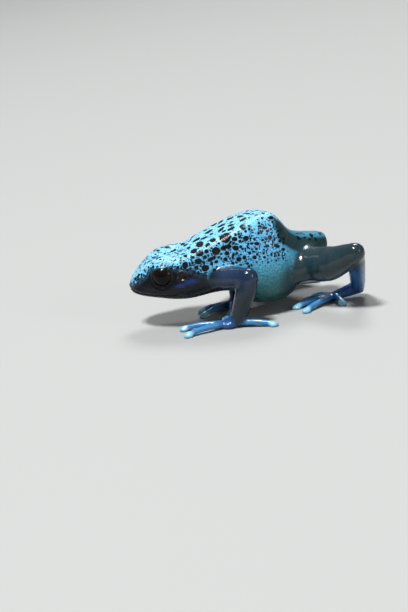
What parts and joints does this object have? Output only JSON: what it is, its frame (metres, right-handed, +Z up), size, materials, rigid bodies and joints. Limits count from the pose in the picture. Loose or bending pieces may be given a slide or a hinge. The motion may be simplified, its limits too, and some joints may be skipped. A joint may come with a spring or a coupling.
{
  "type": "blue poison dart frog",
  "caption": "Life-size still model of a blue poison dart frog, standing with bent limbs, a humped back and its head low.",
  "frame": {"origin": "middle of the bounding box at floor level", "axes": "+Z up, snout towards -X, the frog's left side towards -Y"},
  "size_m": [0.0476, 0.0368, 0.0205],
  "materials": {
    "body_skin": "moist granular skin",
    "jaw_skin": "moist smooth skin",
    "limb_skin": "moist granular skin",
    "digit_skin": "moist smooth skin",
    "eye": "wet cornea"
  },
  "bodies": {
    "root": {"head": "body_skin", "lower_jaw": "jaw_skin", "torso": "body_skin", "eye_left": "eye", "upper_arm_left": "limb_skin", "forearm_left": "limb_skin", "hand_left": "limb_skin", "finger_1_left": "digit_skin", "finger_2_left": "digit_skin", "finger_3_left": "digit_skin", "finger_4_left": "digit_skin", "thigh_left": "limb_skin", "shank_left": "limb_skin", "tarsus_left": "limb_skin", "foot_left": "limb_skin", "toe_1_left": "digit_skin", "toe_2_left": "digit_skin", "toe_3_left": "digit_skin", "toe_4_left": "digit_skin", "toe_5_left": "digit_skin", "eye_right": "eye", "upper_arm_right": "limb_skin", "forearm_right": "limb_skin", "hand_right": "limb_skin", "finger_1_right": "digit_skin", "finger_2_right": "digit_skin", "finger_3_right": "digit_skin", "finger_4_right": "digit_skin", "thigh_right": "limb_skin", "shank_right": "limb_skin", "tarsus_right": "limb_skin", "foot_right": "limb_skin", "toe_1_right": "digit_skin", "toe_2_right": "digit_skin", "toe_3_right": "digit_skin", "toe_4_right": "digit_skin", "toe_5_right": "digit_skin"}
  },
  "joints": []
}
